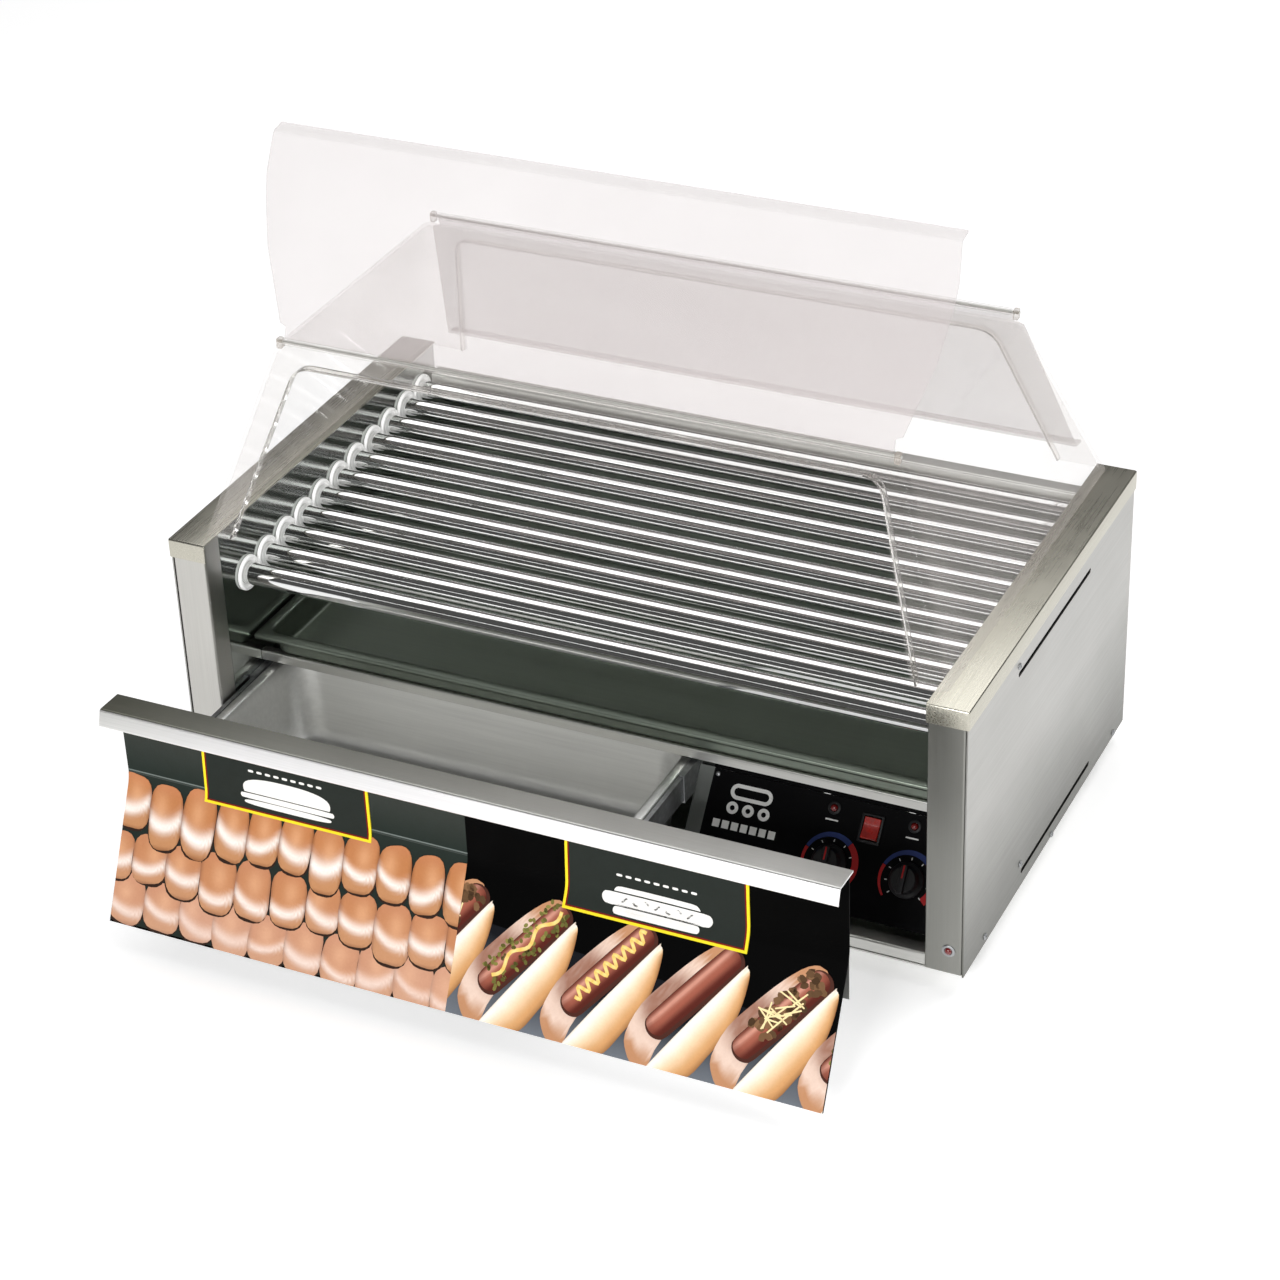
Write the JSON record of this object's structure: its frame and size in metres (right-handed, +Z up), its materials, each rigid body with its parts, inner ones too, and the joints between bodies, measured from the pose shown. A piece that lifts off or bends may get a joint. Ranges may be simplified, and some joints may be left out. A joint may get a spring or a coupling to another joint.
{
  "type": "hot dog roller grill",
  "caption": "Countertop hot dog roller grill: chromed heated rollers under a clear hood with front and rear doors, over a drip tray, a slide-out bun drawer and a control panel.",
  "frame": {"origin": "middle of the overall width and depth, with the drawer open and the front door raised, on the surface the feet stand on", "axes": "+X to the right of the person using the controls, +Y to the back, +Z up"},
  "size_m": [0.908, 0.7873, 0.7585],
  "materials": {
    "stainless": "satin brushed stainless steel",
    "polished_stainless": "polished, nearly a mirror",
    "chrome": "bright chrome plating",
    "galvanised": "dull zinc plating",
    "clear_plastic": "clear formed acrylic",
    "rubber": "matt black",
    "black_panel": "black printed face",
    "black_plastic": "moulded black",
    "white_plastic": "white, slightly waxy",
    "red_plastic": "translucent red",
    "red_lens": "dark red lens",
    "printed_panel": "printed picture under gloss"
  },
  "bodies": {
    "cabinet": {"base_pan": "stainless", "left_front_foot": "rubber", "right_front_foot": "rubber", "left_rear_foot": "rubber", "right_rear_foot": "rubber", "left_side_panel": "stainless", "right_side_panel": "stainless", "left_inner_wall": "polished_stainless", "right_inner_wall": "polished_stainless", "left_front_post": "stainless", "right_front_post": "stainless", "left_top_cap": "stainless", "right_top_cap": "stainless", "rear_panel": "stainless", "rear_ledge": "stainless", "mid_rail": "stainless", "tray_rear_rest": "galvanised", "bottom_rail": "stainless", "cord_gland": "black_plastic", "left_roller_seals": "white_plastic", "right_roller_seals": "white_plastic", "heating_elements": "galvanised", "drive_chain": "galvanised", "gear_motor": "galvanised", "drip_tray": "stainless", "left_slide_fixed_member": "galvanised", "right_slide_fixed_member": "galvanised", "control_panel": "black_panel", "control_box_divider": "stainless", "front_thermostat": "galvanised", "rear_thermostat": "galvanised", "front_pilot_lamp": "red_lens", "rear_pilot_lamp": "red_lens", "post_lamp": "red_lens", "hood": "clear_plastic", "front_hinge_rod": "stainless", "rear_hinge_rod": "stainless"},
    "drawer": {"drawer_front": "printed_panel", "drawer_handle": "stainless", "drawer_frame": "stainless", "bun_pan": "stainless"},
    "slide_middles": {"left_slide_middle_member": "galvanised", "right_slide_middle_member": "galvanised"},
    "roller_1": {"roller_1": "chrome"},
    "roller_2": {"roller_2": "chrome"},
    "roller_3": {"roller_3": "chrome"},
    "roller_4": {"roller_4": "chrome"},
    "roller_5": {"roller_5": "chrome"},
    "roller_6": {"roller_6": "chrome"},
    "roller_7": {"roller_7": "chrome"},
    "roller_8": {"roller_8": "chrome"},
    "roller_9": {"roller_9": "chrome"},
    "roller_10": {"roller_10": "chrome"},
    "roller_11": {"roller_11": "chrome"},
    "motor_sprocket": {"motor_sprocket": "galvanised"},
    "front_door": {"front_door": "clear_plastic"},
    "rear_door": {"rear_door": "clear_plastic"},
    "front_heat_knob": {"front_heat_knob": "black_plastic"},
    "rear_heat_knob": {"rear_heat_knob": "black_plastic"},
    "power_rocker": {"power_rocker": "red_plastic"}
  },
  "joints": [
    {"name": "drawer_slide", "type": "slide", "parent": "cabinet", "child": "drawer", "axis": [0, -1, 0], "range_m": [-0.242, 0.056]},
    {"name": "slide_middles_slide", "type": "slide", "parent": "cabinet", "child": "slide_middles", "axis": [0, -1, 0], "range_m": [-0.121, 0.028]},
    {"name": "roller_1_spin", "type": "hinge", "parent": "cabinet", "child": "roller_1", "pos_m": [0, -0.0599, 0.2695], "axis": [1, 0, 0], "continuous": true},
    {"name": "roller_2_spin", "type": "hinge", "parent": "cabinet", "child": "roller_2", "pos_m": [0, -0.01969, 0.27237], "axis": [1, 0, 0], "continuous": true},
    {"name": "roller_3_spin", "type": "hinge", "parent": "cabinet", "child": "roller_3", "pos_m": [0, 0.02052, 0.27524], "axis": [1, 0, 0], "continuous": true},
    {"name": "roller_4_spin", "type": "hinge", "parent": "cabinet", "child": "roller_4", "pos_m": [0, 0.06073, 0.27811], "axis": [1, 0, 0], "continuous": true},
    {"name": "roller_5_spin", "type": "hinge", "parent": "cabinet", "child": "roller_5", "pos_m": [0, 0.10094, 0.28098], "axis": [1, 0, 0], "continuous": true},
    {"name": "roller_6_spin", "type": "hinge", "parent": "cabinet", "child": "roller_6", "pos_m": [0, 0.14115, 0.28385], "axis": [1, 0, 0], "continuous": true},
    {"name": "roller_7_spin", "type": "hinge", "parent": "cabinet", "child": "roller_7", "pos_m": [0, 0.18136, 0.28672], "axis": [1, 0, 0], "continuous": true},
    {"name": "roller_8_spin", "type": "hinge", "parent": "cabinet", "child": "roller_8", "pos_m": [0, 0.22157, 0.28959], "axis": [1, 0, 0], "continuous": true},
    {"name": "roller_9_spin", "type": "hinge", "parent": "cabinet", "child": "roller_9", "pos_m": [0, 0.26178, 0.29246], "axis": [1, 0, 0], "continuous": true},
    {"name": "roller_10_spin", "type": "hinge", "parent": "cabinet", "child": "roller_10", "pos_m": [0, 0.30199, 0.29533], "axis": [1, 0, 0], "continuous": true},
    {"name": "roller_11_spin", "type": "hinge", "parent": "cabinet", "child": "roller_11", "pos_m": [0, 0.3422, 0.2982], "axis": [1, 0, 0], "continuous": true},
    {"name": "motor_sprocket_spin", "type": "hinge", "parent": "cabinet", "child": "motor_sprocket", "pos_m": [0.42, 0.1618, 0.104], "axis": [1, 0, 0], "continuous": true},
    {"name": "front_door_hinge", "type": "hinge", "parent": "cabinet", "child": "front_door", "pos_m": [0, -0.0492, 0.557], "axis": [1, 0, 0], "range_deg": [0, 183]},
    {"name": "rear_door_hinge", "type": "hinge", "parent": "cabinet", "child": "rear_door", "pos_m": [0, 0.2878, 0.557], "axis": [1, 0, 0], "range_deg": [0, 180]},
    {"name": "front_heat_knob_turn", "type": "hinge", "parent": "cabinet", "child": "front_heat_knob", "pos_m": [0.284, -0.08257, 0.08503], "axis": [0, 0.7866, -0.6174], "range_deg": [0, 270]},
    {"name": "rear_heat_knob_turn", "type": "hinge", "parent": "cabinet", "child": "rear_heat_knob", "pos_m": [0.37, -0.08257, 0.08503], "axis": [0, 0.7866, -0.6174], "range_deg": [0, 270]},
    {"name": "power_rocker_tilt", "type": "hinge", "parent": "cabinet", "child": "power_rocker", "pos_m": [0.32, -0.05589, 0.11901], "axis": [1, 0, 0], "range_deg": [0, 14]}
  ],
  "couplings": [
    {"joint": "slide_middles_slide", "follows": "drawer_slide", "ratio": 0.5},
    {"joint": "roller_2_spin", "follows": "roller_1_spin", "ratio": 1},
    {"joint": "roller_3_spin", "follows": "roller_1_spin", "ratio": 1},
    {"joint": "roller_4_spin", "follows": "roller_1_spin", "ratio": 1},
    {"joint": "roller_5_spin", "follows": "roller_1_spin", "ratio": 1},
    {"joint": "roller_6_spin", "follows": "roller_1_spin", "ratio": 1},
    {"joint": "roller_7_spin", "follows": "roller_1_spin", "ratio": 1},
    {"joint": "roller_8_spin", "follows": "roller_1_spin", "ratio": 1},
    {"joint": "roller_9_spin", "follows": "roller_1_spin", "ratio": 1},
    {"joint": "roller_10_spin", "follows": "roller_1_spin", "ratio": 1},
    {"joint": "roller_11_spin", "follows": "roller_1_spin", "ratio": 1},
    {"joint": "motor_sprocket_spin", "follows": "roller_1_spin", "ratio": 1}
  ]
}
